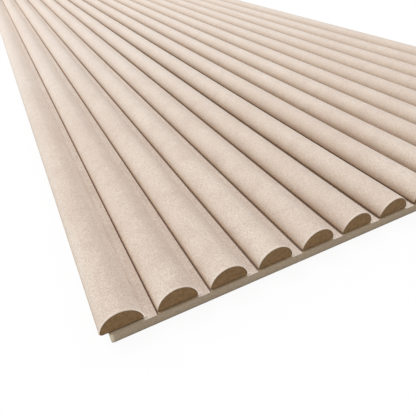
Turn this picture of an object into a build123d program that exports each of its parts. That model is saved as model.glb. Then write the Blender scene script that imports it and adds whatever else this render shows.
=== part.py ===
from build123d import *
import os

# Acoustic panel of half-round slats on a felt backing board, lying on its back.
# X runs across the slats, Y along them, and Z up from the back face.
# The origin is under the middle of the overall outline, on the back face.
# All sizes are in millimetres.

# Backing board
backing_width = 600.0
backing_length = 2400.0
backing_thickness = 8.0
backing_corner_radius = 1.5

# Slats: the half-round section over its wrap, and the easing of its two foot corners
slat_count = 16
slat_width = 29.5
slat_height = 14.5
foot_radius = 2.2

# The first slat reaches past the backing's left edge and covers the next panel's lip.
slat_overhang = 5.5
# The slats stop just short of the backing's two ends.
slat_setback = 1.0

# Wrap: a thin sheet over each slat's round face, turned under its foot on both sides
wrap_thickness = 0.5
wrap_return = 5.0

# The pitch runs on unbroken from one panel to the next.
slat_pitch = backing_width / slat_count
slat_length = backing_length - 2 * slat_setback
overall_width = backing_width + slat_overhang
left_limit = -overall_width / 2
backing_centre_x = left_limit + slat_overhang + backing_width / 2

# The round face is one arc through both feet and the crown.
crown_radius = ((slat_width / 2) ** 2 + slat_height**2) / (2 * slat_height)
crown_centre = slat_height - crown_radius

# Easing the foot corners draws the slat's sides in a little.
foot_centre = ((crown_radius - foot_radius) ** 2 - (foot_radius - crown_centre) ** 2) ** 0.5
slat_reach = foot_centre + foot_radius
first_slat_x = left_limit + slat_reach

# The core's arc shares its centre with the round face.
core_radius = crown_radius - wrap_thickness
core_foot_rise = wrap_thickness - crown_centre
core_width = 2 * (core_radius**2 - core_foot_rise**2) ** 0.5
core_height = slat_height - 2 * wrap_thickness


def half_round(width, height, corner_radius):
    """A half-round outline on its foot line, with both foot corners eased."""
    crown = ThreePointArc((-width / 2, 0), (0, height), (width / 2, 0))
    foot = Line(crown @ 1, crown @ 0)
    outline = make_face([crown, foot])
    return fillet(outline.vertices(), corner_radius)


def core_section():
    """The board that the wrap is folded round, standing on the wrap's turned-under edges."""
    outline = half_round(core_width, core_height, foot_radius - wrap_thickness)
    return Pos(0, wrap_thickness) * outline


def wrap_section():
    """The wrap seen from its end: open under the slat between its two turned-under edges."""
    finished = half_round(slat_width, slat_height, foot_radius)
    opening = Rectangle(slat_width - 2 * wrap_return, wrap_thickness)
    return finished - core_section() - Pos(0, wrap_thickness / 2) * opening


def run_along_slat(section):
    """A section stood up across the slats and run along the slat's length."""
    far_end = Plane.XZ.offset(-slat_length / 2)
    return extrude(far_end * section, amount=slat_length)


def backing_board():
    """The felt board that carries the slats, with its four corners eased."""
    outline = RectangleRounded(backing_width, backing_length, backing_corner_radius)
    return Pos(backing_centre_x, 0, 0) * extrude(outline, amount=backing_thickness)


def slat_place(index):
    """Where a slat's foot stands on the board, counted from the overhanging side."""
    return Pos(first_slat_x + index * slat_pitch, 0, backing_thickness)


slat_core = run_along_slat(core_section())
slat_wrap = run_along_slat(wrap_section())

nodes = {"backing_board": backing_board()}
for index in range(slat_count):
    nodes[f"slat_core_{index + 1:02d}"] = slat_place(index) * slat_core
    nodes[f"slat_wrap_{index + 1:02d}"] = slat_place(index) * slat_wrap

os.makedirs("parts", exist_ok=True)
for name, solid in nodes.items():
    export_step(solid, f"parts/{name}.step")
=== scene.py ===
import math

import bmesh
import bpy
from mathutils import Matrix, Vector


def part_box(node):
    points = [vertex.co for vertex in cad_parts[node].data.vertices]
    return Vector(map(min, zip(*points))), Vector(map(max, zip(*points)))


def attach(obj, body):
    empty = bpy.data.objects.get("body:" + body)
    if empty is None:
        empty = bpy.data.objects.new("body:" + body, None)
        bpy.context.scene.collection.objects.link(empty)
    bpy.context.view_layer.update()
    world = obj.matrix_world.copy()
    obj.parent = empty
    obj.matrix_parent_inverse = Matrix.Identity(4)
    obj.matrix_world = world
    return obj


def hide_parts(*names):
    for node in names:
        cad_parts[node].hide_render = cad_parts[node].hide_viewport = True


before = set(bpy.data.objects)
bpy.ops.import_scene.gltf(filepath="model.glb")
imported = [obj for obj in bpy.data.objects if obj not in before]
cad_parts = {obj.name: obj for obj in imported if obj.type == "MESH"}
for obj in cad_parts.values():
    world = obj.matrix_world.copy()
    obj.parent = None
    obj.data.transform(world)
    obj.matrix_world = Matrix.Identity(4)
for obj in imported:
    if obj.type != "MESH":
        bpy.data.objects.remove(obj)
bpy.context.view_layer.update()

# All lengths are in metres, in the panel's own frame: X across the slats, Y along them, Z up.

# Slat section, over its wrap
SLAT_WIDTH = 0.0295
SLAT_HEIGHT = 0.0145
FOOT_RADIUS = 0.0022
WRAP_THICKNESS = 0.0005
WRAP_RETURN = 0.005
CROWN_STEPS = 48
FOOT_STEPS = 8

# Board edges
BOARD_CORNER_RADIUS = 0.0015
BOARD_CORNER_STEPS = 10
BOARD_EDGE_EASE = 0.0003

# The wrap runs out onto the board in a small cove at each right foot, which laps the slat's side by a hair
COVE_RADIUS = 0.0036
COVE_STEPS = 8
COVE_LAP = 0.00003

# How far back the wrap's outer face is trimmed from its cut ends
WRAP_TRIM = 0.0006

# How much further back the slats' ends stand than in CAD: the first slat's, the second's and the others'
END_BACK = (0.0009, 0.0007, 0.0004)

# How far from its cut ends the wrap's painted highlight starts, and is full
WRAP_END_HIGHLIGHT_START = 0.0014
WRAP_END_HIGHLIGHT_FULL = 0.0008

# The same painted highlight on the board's face, from the board's own ends
FACE_END_HIGHLIGHT_START = 0.0012
FACE_END_HIGHLIGHT_FULL = 0.0004

# How far inside its outline a slat's cut end turns from its dense rim to its loose middle
RIM_WIDTH = 0.0011

# The painted crease shade on a slat's left side: the first slat's share of it, and how it turns from its
# light to its deep form, slat by slat
CREASE_SHADE_FIRST = 0.95
CREASE_SHADE_STEP = 0.09
CREASE_SHADE_MOST = 0.62

# The painted light at each right foot: how far it reaches over the board
FOOT_LIGHT_REACH = 0.005

# Powers below 1, which start that tone sooner down the right side of the first slat, and of the second
FOOT_LIGHT_FIRST = 0.60
FOOT_LIGHT_SECOND = 0.74

# Painted light makes the board's face paler between the slats, from this many pitches across it to that
# many
GAP_LIGHT_START = 2.7
GAP_LIGHT_FULL = 5.0

# The painted shade in the seam on the board along each slat's left foot: its strength, its full tone and
# its fade
SEAM_SHADE_STRENGTH = 0.92
SEAM_SHADE_WIDTH = 0.0006
SEAM_SHADE_FADE = 0.0005

# How much narrower the seam gets, from this many pitches across the board to that many
SEAM_SHADE_NARROWER = 0.0004
NARROW_START = 1.0
NARROW_FULL = 5.0

# How far inside a slat's right foot its glue bed starts, and is full
BED_START = 0.0004
BED_FULL = 0.0012

# How sharply the board's face changes at its bare lip, and at the ledge before the slats' ends
LIP_FADE = 0.0002
LEDGE_FADE = 0.0001

# The painted shade in the creases and seams is fainter away from the ends
SHADE_FADE_START = 0.65
SHADE_FADE_FULL = 0.15
SHADE_FADE_SHARE = 0.3

# A painted sheen makes the wrap and the board's face a little paler away from the ends
FAR_SHEEN_START = 1.05
FAR_SHEEN_FULL = 0.60
FAR_SHEEN_SHARE = 0.45

# The painted highlight down the board's long edges and round their corners, and its fade
EDGE_HIGHLIGHT_WIDTH = 0.0026
EDGE_HIGHLIGHT_FADE = 0.0012

# The darker line along the back of the board's edges, and its fade
BACK_LINE = 0.0007
BACK_LINE_FADE = 0.0006

# Camera
CAMERA_PLACE = (-0.2982, -1.3591, 0.2088)
CAMERA_YAW = 24.35
CAMERA_PITCH = -36.96
CAMERA_ROLL = -3.91
CAMERA_LENS_MM = 33.91
CAMERA_NEAR = 0.01
SENSOR_MM = 36.0

# Studio: a white room with a large key light from behind left and a small fill from the right
WORLD_LEVEL = 0.62
KEY_PLACE = (-1.6, 0.6, 2.4)
KEY_TARGET = (0.0, -0.9, 0.0)
KEY_SIZE = 2.2
KEY_WATTS = 58
FILL_PLACE = (1.2, -0.3, 1.1)
FILL_TARGET = (0.1, -0.9, 0.0)
FILL_SIZE = 0.8
FILL_WATTS = 2.2

# The floor: its own white for other light, and its shadow tone and glow where the camera sees it
FLOOR_DROP = 0.0004
FLOOR_SIZE = 60.0
FLOOR_WHITE = 0.8
FLOOR_SHADOW = 0.08
FLOOR_GLOW = 0.92

slat_names = sorted(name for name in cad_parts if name.startswith("slat_wrap_"))
board_low, board_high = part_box("backing_board")


def srgb(red, green, blue):
    """A colour given as 0 to 255 screen values, as the linear values that shaders use."""
    linear = []
    for value in (red, green, blue):
        share = value / 255
        linear.append(share / 12.92 if share <= 0.04045 else ((share + 0.055) / 1.055) ** 2.4)
    return (*linear, 1.0)


# Shapes


def slat_path(inset):
    """Points along the slat's outline, drawn in by inset, from right foot over the crown to left foot."""
    crown_radius = ((SLAT_WIDTH / 2) ** 2 + SLAT_HEIGHT**2) / (2 * SLAT_HEIGHT)
    crown_z = SLAT_HEIGHT - crown_radius
    foot_x = math.sqrt((crown_radius - FOOT_RADIUS) ** 2 - (FOOT_RADIUS - crown_z) ** 2)
    turn = math.atan2(FOOT_RADIUS - crown_z, foot_x)
    path = []
    for step in range(FOOT_STEPS):
        angle = -math.pi / 2 + (turn + math.pi / 2) * step / FOOT_STEPS
        radius = FOOT_RADIUS - inset
        path.append((foot_x + radius * math.cos(angle), FOOT_RADIUS + radius * math.sin(angle)))
    for step in range(CROWN_STEPS // 2):
        angle = turn + (math.pi / 2 - turn) * step / (CROWN_STEPS // 2)
        radius = crown_radius - inset
        path.append((radius * math.cos(angle), crown_z + radius * math.sin(angle)))
    crown_top = (0.0, SLAT_HEIGHT - inset)
    mirrored = [(-x, z) for x, z in reversed(path)]
    return path + [crown_top] + mirrored


def finish_mesh(mesh_builder, name, sharp_degrees=35):
    """A smooth-shaded object from a bmesh, with its real edges kept sharp."""
    bmesh.ops.recalc_face_normals(mesh_builder, faces=mesh_builder.faces)
    mesh = bpy.data.meshes.new(name)
    mesh_builder.to_mesh(mesh)
    mesh_builder.free()
    mesh.shade_smooth()
    mesh.set_sharp_from_angle(angle=math.radians(sharp_degrees))
    piece = bpy.data.objects.new(name, mesh)
    bpy.context.scene.collection.objects.link(piece)
    return piece


def ring(builder, points, y, offset_x, offset_z):
    """One loop of vertices of a section, standing across the slat at y."""
    return [builder.verts.new((offset_x + x, y, offset_z + z)) for x, z in points]


def cove_path():
    """The cove's section at a slat's right foot: from under it, out over the board and up the side."""
    foot = slat_path(0.0)[0]
    side_x = max(x for x, z in slat_path(0.0)) - COVE_LAP
    path = [foot]
    for step in range(COVE_STEPS + 1):
        angle = math.radians(270 - 90 * step / COVE_STEPS)
        x = side_x + COVE_RADIUS * (1 + math.cos(angle))
        path.append((x, COVE_RADIUS * (1 + math.sin(angle))))
    return path


def make_wrap(name, centre_x, near_y, far_y, foot_z, end_back, crease_share, crease_form, foot_light_power):
    """The pale sheet round one slat. Its vertices carry the values that its painted light and shade
    follow.
    """
    tip_x = SLAT_WIDTH / 2 - WRAP_RETURN
    outer = [(tip_x, 0.0)] + slat_path(0.0) + [(-tip_x, 0.0)]
    inner = [(tip_x, WRAP_THICKNESS)] + slat_path(WRAP_THICKNESS) + [(-tip_x, WRAP_THICKNESS)]
    builder = bmesh.new()
    crease = builder.verts.layers.float.new("crease")
    deep = builder.verts.layers.float.new("deep")
    foot_light = builder.verts.layers.float.new("foot_light")
    back = builder.verts.layers.float.new("back")
    near = ring(builder, outer, near_y + WRAP_TRIM, centre_x, foot_z)
    near += ring(builder, inner[::-1], near_y, centre_x, foot_z)
    far = ring(builder, outer, far_y - WRAP_TRIM, centre_x, foot_z)
    far += ring(builder, inner[::-1], far_y, centre_x, foot_z)
    cove = cove_path()
    cove_near = ring(builder, cove, near_y + WRAP_TRIM, centre_x, foot_z)
    cove_far = ring(builder, cove, far_y - WRAP_TRIM, centre_x, foot_z)
    for vertex in builder.verts:
        depth = 1 - (vertex.co.z - foot_z) / SLAT_HEIGHT
        if vertex.co.x < centre_x:
            vertex[crease] = crease_share * depth
        else:
            vertex[foot_light] = max(depth, 0.0) ** foot_light_power
        vertex[deep] = crease_form
        vertex[back] = end_back
    count = len(near)
    for i in range(count):
        j = (i + 1) % count
        builder.faces.new((near[i], near[j], far[j], far[i]))
    for i in range(len(outer) - 1):
        a, b = i, i + 1
        c, d = count - 1 - b, count - 1 - a
        builder.faces.new((near[a], near[b], near[c], near[d]))
        builder.faces.new((far[a], far[d], far[c], far[b]))
    builder.faces.new(cove_near)
    builder.faces.new(cove_far)
    for i in range(len(cove)):
        j = (i + 1) % len(cove)
        builder.faces.new((cove_near[i], cove_near[j], cove_far[j], cove_far[i]))
    return finish_mesh(builder, name)


def make_core(name, centre_x, near_y, far_y, foot_z):
    """One slat's fibreboard core, whose cut ends carry a rim value for the denser skin."""
    outline = slat_path(WRAP_THICKNESS)
    inside = slat_path(WRAP_THICKNESS + RIM_WIDTH)
    builder = bmesh.new()
    rim = builder.verts.layers.float.new("rim")
    ends = []
    for y in (near_y, far_y):
        edge_ring = ring(builder, outline, y, centre_x, foot_z)
        inner_ring = ring(builder, inside, y, centre_x, foot_z)
        for vertex in edge_ring:
            vertex[rim] = 1.0
        builder.faces.new(inner_ring)
        ends.append((edge_ring, inner_ring))
    near_edge, far_edge = ends[0][0], ends[1][0]
    count = len(outline)
    for i in range(count):
        j = (i + 1) % count
        builder.faces.new((near_edge[i], near_edge[j], far_edge[j], far_edge[i]))
        for edge_ring, inner_ring in ends:
            builder.faces.new((edge_ring[i], edge_ring[j], inner_ring[j], inner_ring[i]))
    return finish_mesh(builder, name)


def rounded_outline(low, high, radius, inset):
    """A plan outline with round corners, drawn in by inset."""
    points = []
    corners = (
        (high.x - radius, high.y - radius, 0),
        (low.x + radius, high.y - radius, 90),
        (low.x + radius, low.y + radius, 180),
        (high.x - radius, low.y + radius, 270),
    )
    for centre_x, centre_y, start in corners:
        for step in range(BOARD_CORNER_STEPS + 1):
            angle = math.radians(start + 90 * step / BOARD_CORNER_STEPS)
            reach = radius - inset
            points.append((centre_x + reach * math.cos(angle), centre_y + reach * math.sin(angle)))
    return points


def make_board(name):
    """The backing board with eased edges: one material for its face, a second for its edges and back."""
    levels = (
        (board_low.z, BOARD_EDGE_EASE),
        (board_low.z + BOARD_EDGE_EASE, 0.0),
        (board_high.z - BOARD_EDGE_EASE, 0.0),
        (board_high.z, BOARD_EDGE_EASE),
    )
    builder = bmesh.new()
    rings = []
    for z, inset in levels:
        plan = rounded_outline(board_low, board_high, BOARD_CORNER_RADIUS, inset)
        rings.append([builder.verts.new((x, y, z)) for x, y in plan])
    count = len(rings[0])
    for lower, upper in zip(rings, rings[1:]):
        for i in range(count):
            j = (i + 1) % count
            builder.faces.new((lower[i], lower[j], upper[j], upper[i])).material_index = 1
    builder.faces.new(rings[0]).material_index = 1
    builder.faces.new(rings[-1]).material_index = 0
    return finish_mesh(builder, name, sharp_degrees=60)


# Materials


class Shader:
    """A new material with its principled shader, and short ways to add nodes to it."""

    def __init__(self, name):
        self.material = bpy.data.materials.new(name)
        self.material.use_nodes = True
        self.nodes = self.material.node_tree.nodes
        self.links = self.material.node_tree.links
        self.surface = self.nodes["Principled BSDF"]
        self.place = self.nodes.new("ShaderNodeTexCoord").outputs["Object"]

    def noise(self, scale, detail=3.0, roughness=0.6, stretch=(1, 1, 1)):
        """Noise over the panel's own coordinates: scale counts features in a metre."""
        mapping = self.nodes.new("ShaderNodeMapping")
        mapping.inputs["Scale"].default_value = stretch
        texture = self.nodes.new("ShaderNodeTexNoise")
        texture.inputs["Scale"].default_value = scale
        texture.inputs["Detail"].default_value = detail
        texture.inputs["Roughness"].default_value = roughness
        self.links.new(self.place, mapping.inputs["Vector"])
        self.links.new(mapping.outputs["Vector"], texture.inputs["Vector"])
        return texture.outputs["Fac"]

    def attribute(self, name):
        """A value that the mesh carries at its vertices."""
        node = self.nodes.new("ShaderNodeAttribute")
        node.attribute_name = name
        return node.outputs["Fac"]

    def axis(self, name):
        """One of the panel's own coordinates: X, Y or Z."""
        node = self.nodes.new("ShaderNodeSeparateXYZ")
        self.links.new(self.place, node.inputs["Vector"])
        return node.outputs[name]

    def from_middle(self):
        """The distance along the slats from the panel's middle."""
        return self.math("ABSOLUTE", self.axis("Y"))

    def facing(self, name):
        """How far the surface faces along one of the panel's axes, from -1 to 1."""
        node = self.nodes.new("ShaderNodeSeparateXYZ")
        geometry = self.nodes.new("ShaderNodeNewGeometry")
        self.links.new(geometry.outputs["Normal"], node.inputs["Vector"])
        return node.outputs[name]

    def math(self, operation, first, second=0.0):
        """Simple arithmetic on values. Each may be a number or a socket."""
        node = self.nodes.new("ShaderNodeMath")
        node.operation = operation
        self.give(node.inputs[0], first)
        self.give(node.inputs[1], second)
        return node.outputs["Value"]

    def tones(self, value, stops):
        """A colour from a value, by stops of place and colour."""
        node = self.nodes.new("ShaderNodeValToRGB")
        points = node.color_ramp.elements
        while len(points) < len(stops):
            points.new(1.0)
        for point, (place, colour) in zip(points, stops):
            point.position = place
            point.color = colour
        self.links.new(value, node.inputs["Fac"])
        return node.outputs["Color"]

    def spread(self, value, low, high, to_low=0.0, to_high=1.0):
        """A value's range from low to high, taken to another range and held there."""
        node = self.nodes.new("ShaderNodeMapRange")
        sockets = ("From Min", "From Max", "To Min", "To Max")
        for socket, number in zip(sockets, (low, high, to_low, to_high)):
            node.inputs[socket].default_value = number
        self.links.new(value, node.inputs["Value"])
        return node.outputs["Result"]

    def mix(self, share, first, second, blend="MIX"):
        """Two colours mixed by a share. Each may be a colour or a socket."""
        node = self.nodes.new("ShaderNodeMix")
        node.data_type = "RGBA"
        node.blend_type = blend
        sockets = [s for s in node.inputs if s.type == "RGBA"]
        for socket, colour in zip(sockets, (first, second)):
            self.give(socket, colour)
        self.give(next(s for s in node.inputs if s.name == "Factor" and s.type == "VALUE"), share)
        return next(s for s in node.outputs if s.type == "RGBA")

    def bump(self, height, distance, strength, under=None):
        """A bump of a height, over another one where under is given."""
        node = self.nodes.new("ShaderNodeBump")
        node.inputs["Distance"].default_value = distance
        node.inputs["Strength"].default_value = strength
        self.links.new(height, node.inputs["Height"])
        if under is not None:
            self.links.new(under, node.inputs["Normal"])
        return node.outputs["Normal"]

    def give(self, socket, value):
        """Sets a socket to a number or colour, or links another socket to it."""
        if isinstance(value, bpy.types.NodeSocket):
            self.links.new(value, socket)
        else:
            socket.default_value = value

    def set(self, **inputs):
        """Sets the principled shader's inputs, named with _ for a space."""
        for name, value in inputs.items():
            self.give(self.surface.inputs[name.replace("_", " ")], value)
        return self.material


def pale_sheet(shader):
    """The pale, suede-like tone of the slats' wrap and the board's face: fine mottling, soft clouds and a
    painted sheen that pales it away from the ends.
    """
    grain = shader.noise(1050, detail=3, roughness=0.65)
    fleck = shader.noise(330, detail=3, roughness=0.6)
    cloud = shader.noise(26, detail=3, roughness=0.55, stretch=(1, 0.45, 1))
    colour = shader.mix(shader.spread(cloud, 0.35, 0.65), srgb(227, 210, 196), srgb(236, 222, 209))
    patch = shader.noise(58, detail=2, roughness=0.5)
    colour = shader.mix(shader.spread(patch, 0.50, 0.72, 0.0, 0.45), colour, srgb(211, 193, 181))
    # Painted sheen: paler away from the ends
    far_sheen = shader.spread(shader.from_middle(), FAR_SHEEN_START, FAR_SHEEN_FULL, 0.0, FAR_SHEEN_SHARE)
    colour = shader.mix(far_sheen, colour, srgb(242, 233, 226))
    colour = shader.mix(shader.spread(fleck, 0.42, 0.68, 0.0, 0.22), colour, srgb(206, 187, 172))
    colour = shader.mix(shader.spread(grain, 0.40, 0.68, 0.0, 0.75), colour, srgb(190, 168, 150))
    normal = shader.bump(fleck, 0.0002, 0.3)
    normal = shader.bump(grain, 0.00015, 0.6, under=normal)
    rough = shader.spread(grain, 0.3, 0.7, 0.82, 0.95)
    shader.set(
        Roughness=rough,
        Normal=normal,
        Sheen_Roughness=0.45,
        Sheen_Tint=srgb(252, 246, 240),
    )
    return colour


def slat_wrap(name, slat_end):
    """The slats' wrap: a painted highlight at its cut ends, painted light and shade down its right side,
    and painted shade in brown down its left side into the creases.
    """
    shader = Shader(name)
    colour = pale_sheet(shader)
    # A painted highlight along the wrap's cut ends
    reach = shader.math("ADD", shader.from_middle(), shader.attribute("back"))
    end = shader.spread(reach, slat_end - WRAP_END_HIGHLIGHT_START, slat_end - WRAP_END_HIGHLIGHT_FULL)
    colour = shader.mix(shader.math("MULTIPLY", end, 0.6), colour, srgb(253, 237, 221))
    deep = shader.attribute("deep")

    # Painted light down the right side into the foot, with a little painted shade high on it, which give
    # way to a plain, slightly paler tone on the slats with the deep crease shade
    right = shader.attribute("foot_light")
    slope_stops = (
        (0.00, (1.0, 1.0, 1.0, 1)),
        (0.10, (0.955, 0.94, 0.93, 1)),
        (0.35, (0.98, 0.965, 0.955, 1)),
        (0.60, (1.14, 1.17, 1.20, 1)),
        (0.80, (1.34, 1.39, 1.45, 1)),
        (0.91, (1.37, 1.46, 1.54, 1)),
        (0.965, (1.28, 1.33, 1.38, 1)),
        (1.00, (1.11, 1.15, 1.19, 1)),
    )
    slope = shader.mix(1.0, colour, shader.tones(right, slope_stops), blend="MULTIPLY")
    plain = shader.mix(0.1, colour, srgb(245, 236, 228))
    colour = shader.mix(shader.spread(deep, 0.0, CREASE_SHADE_MOST), slope, plain)

    # Painted shade down the left side into the crease, in its light and its deep form
    light_stops = (
        (0.00, (1.0, 1.0, 1.0, 1)),
        (0.30, (1.05, 1.08, 1.09, 1)),
        (0.60, (1.02, 1.05, 1.06, 1)),
        (0.80, (0.80, 0.75, 0.67, 1)),
        (0.91, (0.34, 0.255, 0.17, 1)),
        (1.00, (0.18, 0.11, 0.07, 1)),
    )
    deep_stops = (
        (0.00, (1.0, 1.0, 1.0, 1)),
        (0.10, (1.0, 1.0, 1.0, 1)),
        (0.25, (0.89, 0.85, 0.80, 1)),
        (0.45, (0.75, 0.67, 0.59, 1)),
        (0.60, (0.50, 0.40, 0.31, 1)),
        (0.80, (0.28, 0.20, 0.14, 1)),
        (1.00, (0.17, 0.10, 0.06, 1)),
    )
    depth = shader.attribute("crease")
    crease = shader.mix(deep, shader.tones(depth, light_stops), shader.tones(depth, deep_stops))
    fade = shader.spread(shader.from_middle(), SHADE_FADE_FULL, SHADE_FADE_START, SHADE_FADE_SHARE, 0.0)
    crease = shader.mix(fade, crease, (1.0, 1.0, 1.0, 1))
    return shader.set(
        Base_Color=shader.mix(1.0, colour, crease, blend="MULTIPLY"),
        Sheen_Weight=shader.spread(depth, 0.35, 0.75, 0.25, 0.0),
        Specular_IOR_Level=shader.spread(depth, 0.35, 0.75, 0.25, 0.05),
    )


def board_face(name, first_foot, pitch, foot_width, slat_end):
    """The board's face: the same pale tone with painted light and shade, painted shade in a seam along
    each left foot and a glue bed under each slat.
    """
    shader = Shader(name)
    # The face is painted a touch darker than the wrap, as shade in the gaps between the slats
    colour = shader.mix(1.0, pale_sheet(shader), (0.96, 0.96, 0.96, 1), blend="MULTIPLY")
    along = shader.from_middle()
    across = shader.axis("X")
    # A painted highlight along the face's ends
    end = shader.spread(along, board_high.y - FACE_END_HIGHLIGHT_START, board_high.y - FACE_END_HIGHLIGHT_FULL)
    colour = shader.mix(shader.math("MULTIPLY", end, 0.6), colour, srgb(246, 236, 225))

    # Painted light at each right foot, and more painted light further across the board
    from_foot = shader.math("FLOORED_MODULO", shader.math("SUBTRACT", across, first_foot), pitch)
    foot_light = shader.spread(from_foot, foot_width + FOOT_LIGHT_REACH, foot_width)
    colour = shader.mix(foot_light, colour, (1.22, 1.27, 1.33, 1), blend="MULTIPLY")
    paler = shader.spread(across, first_foot + GAP_LIGHT_START * pitch, first_foot + GAP_LIGHT_FULL * pitch)
    colour = shader.mix(paler, colour, (1.14, 1.16, 1.18, 1), blend="MULTIPLY")

    # The painted shade along each left foot, but not on the bare lip
    narrow_from = first_foot + NARROW_START * pitch
    narrow_to = first_foot + NARROW_FULL * pitch
    narrower = shader.spread(across, narrow_from, narrow_to, 0.0, SEAM_SHADE_NARROWER)
    seam_full = pitch - SEAM_SHADE_WIDTH
    seam = shader.spread(shader.math("SUBTRACT", from_foot, narrower), seam_full - SEAM_SHADE_FADE, seam_full)
    lip = first_foot + (len(slat_names) - 1) * pitch + foot_width + FOOT_LIGHT_REACH
    slatted = shader.spread(across, lip, lip + LIP_FADE, 1.0, 0.0)
    seam = shader.math("MULTIPLY", seam, slatted)
    depth = shader.spread(along, SHADE_FADE_FULL, SHADE_FADE_START, SEAM_SHADE_STRENGTH - SHADE_FADE_SHARE, SEAM_SHADE_STRENGTH)
    colour = shader.mix(shader.math("MULTIPLY", seam, depth), colour, srgb(84, 50, 36))

    # The glue bed under each slat, whose dark tone is also painted shade where it shows under each left
    # foot, and the bare ledge before its ends, with painted light against its shade, browner from the
    # second slat on
    bed = shader.spread(from_foot, foot_width - BED_START, foot_width - BED_FULL)
    bed = shader.math("MULTIPLY", bed, slatted)
    speck = shader.noise(900, detail=3, roughness=0.7)
    glue = shader.mix(shader.spread(speck, 0.35, 0.65), srgb(120, 97, 80), srgb(150, 130, 112))
    bare = shader.mix(shader.spread(speck, 0.35, 0.65), srgb(186, 166, 142), srgb(208, 190, 166))
    browner = shader.spread(across, first_foot + foot_width, first_foot + pitch)
    bare = shader.mix(browner, bare, (0.78, 0.71, 0.61, 1), blend="MULTIPLY")
    ledge = slat_end - max(END_BACK)
    front = shader.spread(along, ledge, ledge + LEDGE_FADE)
    glue = shader.mix(front, glue, bare)
    return shader.set(
        Base_Color=shader.mix(bed, colour, glue),
        Sheen_Weight=shader.spread(seam, 0.0, 1.0, 0.25, 0.0),
        Specular_IOR_Level=shader.spread(seam, 0.0, 1.0, 0.25, 0.05),
    )


def fibreboard(name):
    """The cores' cut fibreboard: brown, with pale and dark fibres, denser and darker at the rim."""
    shader = Shader(name)
    fibre = shader.noise(1600, detail=4, roughness=0.75)
    clump = shader.noise(420, detail=3, roughness=0.6)
    rim = shader.attribute("rim")
    colour = shader.mix(shader.spread(clump, 0.35, 0.65), srgb(126, 98, 66), srgb(146, 115, 80))
    colour = shader.mix(shader.spread(fibre, 0.52, 0.72, 0.0, 0.55), colour, srgb(176, 146, 108))
    colour = shader.mix(shader.spread(fibre, 0.46, 0.30, 0.0, 0.5), colour, srgb(88, 66, 42))
    colour = shader.mix(shader.spread(rim, 0.0, 1.0, 0.0, 0.5), colour, srgb(92, 70, 46))
    normal = shader.bump(clump, 0.0003, 0.3)
    normal = shader.bump(fibre, 0.0002, 0.6, under=normal)
    return shader.set(Base_Color=colour, Roughness=0.9, Normal=normal, Specular_IOR_Level=0.2)


def cut_felt(name):
    """The board's cut edges and back: taupe pressed felt, darker along the back edge, with a painted
    highlight down its long edges.
    """
    shader = Shader(name)
    fibre = shader.noise(1500, detail=4, roughness=0.7)
    clump = shader.noise(420, detail=3, roughness=0.6)
    cloud = shader.noise(24, detail=4, roughness=0.6)
    edge = shader.spread(shader.facing("Z"), -0.95, -0.8)
    back_line = shader.spread(shader.axis("Z"), BACK_LINE, BACK_LINE + BACK_LINE_FADE, 0.6, 0.0)
    back_line = shader.math("MULTIPLY", back_line, edge)
    colour = shader.mix(shader.spread(clump, 0.35, 0.65), srgb(173, 154, 131), srgb(189, 170, 146))
    colour = shader.mix(shader.spread(cloud, 0.48, 0.70, 0.0, 0.30), colour, srgb(160, 141, 119))
    colour = shader.mix(shader.spread(cloud, 0.46, 0.30, 0.0, 0.30), colour, srgb(198, 181, 158))
    colour = shader.mix(shader.spread(fibre, 0.5, 0.75, 0.0, 0.45), colour, srgb(208, 192, 171))
    colour = shader.mix(shader.spread(fibre, 0.48, 0.3, 0.0, 0.35), colour, srgb(138, 119, 98))
    middle_x = (board_low.x + board_high.x) / 2
    side = shader.math("ABSOLUTE", shader.math("SUBTRACT", shader.axis("X"), middle_x))
    # A painted highlight down the long edges
    strip_start = (board_high.x - board_low.x) / 2 - EDGE_HIGHLIGHT_WIDTH
    strip = shader.spread(side, strip_start, strip_start + EDGE_HIGHLIGHT_FADE, 0.0, 0.9)
    colour = shader.mix(strip, colour, srgb(232, 218, 193))
    colour = shader.mix(back_line, colour, srgb(120, 98, 74))
    normal = shader.bump(clump, 0.0002, 0.25)
    normal = shader.bump(fibre, 0.0002, 0.6, under=normal)
    return shader.set(
        Base_Color=colour,
        Roughness=0.95,
        Normal=normal,
        Specular_IOR_Level=0.15,
        Sheen_Weight=0.2,
        Sheen_Roughness=0.6,
        Sheen_Tint=srgb(225, 214, 198),
    )


# Pieces


def carry(piece, node, slot_name, *materials):
    """Rides a piece on the panel, in its CAD node's place, with its finish."""
    for material in materials:
        piece.data.materials.append(material)
    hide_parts(node)
    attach(piece, "root")


def dress_panel():
    """Builds every piece over its CAD node."""
    boxes = [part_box(name) for name in slat_names]
    first_low, first_high = boxes[0]
    pitch = (boxes[-1][0].x - first_low.x) / (len(boxes) - 1)
    wrap = slat_wrap("slat_wrap", first_high.y)
    brown = fibreboard("fibreboard")
    face = board_face("board_face", first_low.x, pitch, first_high.x - first_low.x, first_high.y)
    felt = cut_felt("cut_felt")
    carry(make_board("felt_board"), "backing_board", "felt", face, felt)
    for index, (wrap_node, (low, high)) in enumerate(zip(slat_names, boxes)):
        number = wrap_node[-2:]
        end_back = END_BACK[min(index, len(END_BACK) - 1)]
        place = ((low.x + high.x) / 2, low.y + end_back, high.y - end_back, board_high.z)
        crease_share = 1.0 if index > 0 else CREASE_SHADE_FIRST
        crease_form = min(CREASE_SHADE_STEP * max(index - 1, 0), CREASE_SHADE_MOST)
        foot_light_power = (FOOT_LIGHT_FIRST, FOOT_LIGHT_SECOND)[index] if index < 2 else 1.0
        sheet = make_wrap(f"wrap_sheet_{number}", *place, end_back, crease_share, crease_form, foot_light_power)
        carry(sheet, wrap_node, "wrap", wrap)
        core = make_core(f"core_board_{number}", *place)
        carry(core, wrap_node.replace("wrap", "core"), "fibreboard", brown)


# Studio


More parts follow.
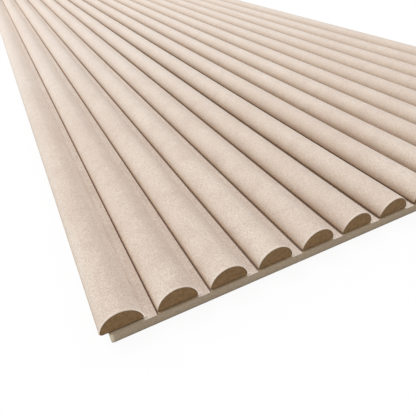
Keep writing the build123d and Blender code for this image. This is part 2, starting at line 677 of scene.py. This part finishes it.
def seen_directly(nodes, links):
    """A value of 1 for what the camera sees, also in gloss or through glass, and 0 for other light."""
    path = nodes.new("ShaderNodeLightPath")
    total = path.outputs["Is Camera Ray"]
    for name in ("Is Glossy Ray", "Is Transmission Ray"):
        highest = nodes.new("ShaderNodeMath")
        highest.operation = "MAXIMUM"
        links.new(total, highest.inputs[0])
        links.new(path.outputs[name], highest.inputs[1])
        total = highest.outputs["Value"]
    return total


def light_world():
    """An even white room, which looks white itself."""
    world = bpy.data.worlds.new("studio")
    world.use_nodes = True
    bpy.context.scene.world = world
    nodes, links = world.node_tree.nodes, world.node_tree.links
    background = nodes["Background"]
    background.inputs["Color"].default_value = (1, 1, 1, 1)
    level = nodes.new("ShaderNodeMapRange")
    level.inputs["To Min"].default_value = WORLD_LEVEL
    level.inputs["To Max"].default_value = 1.0
    links.new(seen_directly(nodes, links), level.inputs["Value"])
    links.new(level.outputs["Result"], background.inputs["Strength"])


def add_softbox(name, place, target, size, watts):
    """A square soft light, turned to its target."""
    data = bpy.data.lights.new(name, "AREA")
    data.shape = "SQUARE"
    data.size = size
    data.energy = watts
    lamp = bpy.data.objects.new(name, data)
    lamp.location = place
    lamp.rotation_euler = (Vector(target) - Vector(place)).to_track_quat("-Z", "Y").to_euler()
    bpy.context.scene.collection.objects.link(lamp)


def lay_floor():
    """A plain white floor that keeps the panel's soft shadow."""
    builder = bmesh.new()
    bmesh.ops.create_grid(builder, x_segments=1, y_segments=1, size=FLOOR_SIZE / 2)
    floor = finish_mesh(builder, "floor")
    floor.location.z = board_low.z - FLOOR_DROP
    material = bpy.data.materials.new("floor_white")
    material.use_nodes = True
    nodes, links = material.node_tree.nodes, material.node_tree.links
    nodes.remove(nodes["Principled BSDF"])
    matte = nodes.new("ShaderNodeBsdfDiffuse")
    matte.inputs["Color"].default_value = (FLOOR_WHITE, FLOOR_WHITE, FLOOR_WHITE, 1)
    shadow = nodes.new("ShaderNodeBsdfDiffuse")
    shadow.inputs["Color"].default_value = (FLOOR_SHADOW, FLOOR_SHADOW, FLOOR_SHADOW, 1)
    glow = nodes.new("ShaderNodeEmission")
    glow.inputs["Strength"].default_value = FLOOR_GLOW
    white = nodes.new("ShaderNodeAddShader")
    links.new(shadow.outputs["BSDF"], white.inputs[0])
    links.new(glow.outputs["Emission"], white.inputs[1])
    choice = nodes.new("ShaderNodeMixShader")
    links.new(seen_directly(nodes, links), choice.inputs["Fac"])
    links.new(matte.outputs["BSDF"], choice.inputs[1])
    links.new(white.outputs["Shader"], choice.inputs[2])
    links.new(choice.outputs["Shader"], nodes["Material Output"].inputs["Surface"])
    floor.data.materials.append(material)


def set_camera():
    """The camera at the photograph's place: near the front left corner, looking down along the slats."""
    data = bpy.data.cameras.new("camera")
    data.sensor_width = SENSOR_MM
    data.lens = CAMERA_LENS_MM
    data.clip_start = CAMERA_NEAR
    camera = bpy.data.objects.new("camera", data)
    turn = Matrix.Rotation(math.radians(-CAMERA_YAW), 4, "Z")
    tilt = Matrix.Rotation(math.radians(90 + CAMERA_PITCH), 4, "X")
    roll = Matrix.Rotation(math.radians(CAMERA_ROLL), 4, "Z")
    camera.matrix_world = Matrix.Translation(CAMERA_PLACE) @ turn @ tilt @ roll
    bpy.context.scene.collection.objects.link(camera)
    bpy.context.scene.camera = camera


def light_studio():
    """The white room, its floor and its two soft lights."""
    light_world()
    lay_floor()
    add_softbox("key", KEY_PLACE, KEY_TARGET, KEY_SIZE, KEY_WATTS)
    add_softbox("fill", FILL_PLACE, FILL_TARGET, FILL_SIZE, FILL_WATTS)


dress_panel()
light_studio()
set_camera()
bpy.context.scene.view_settings.view_transform = "Standard"
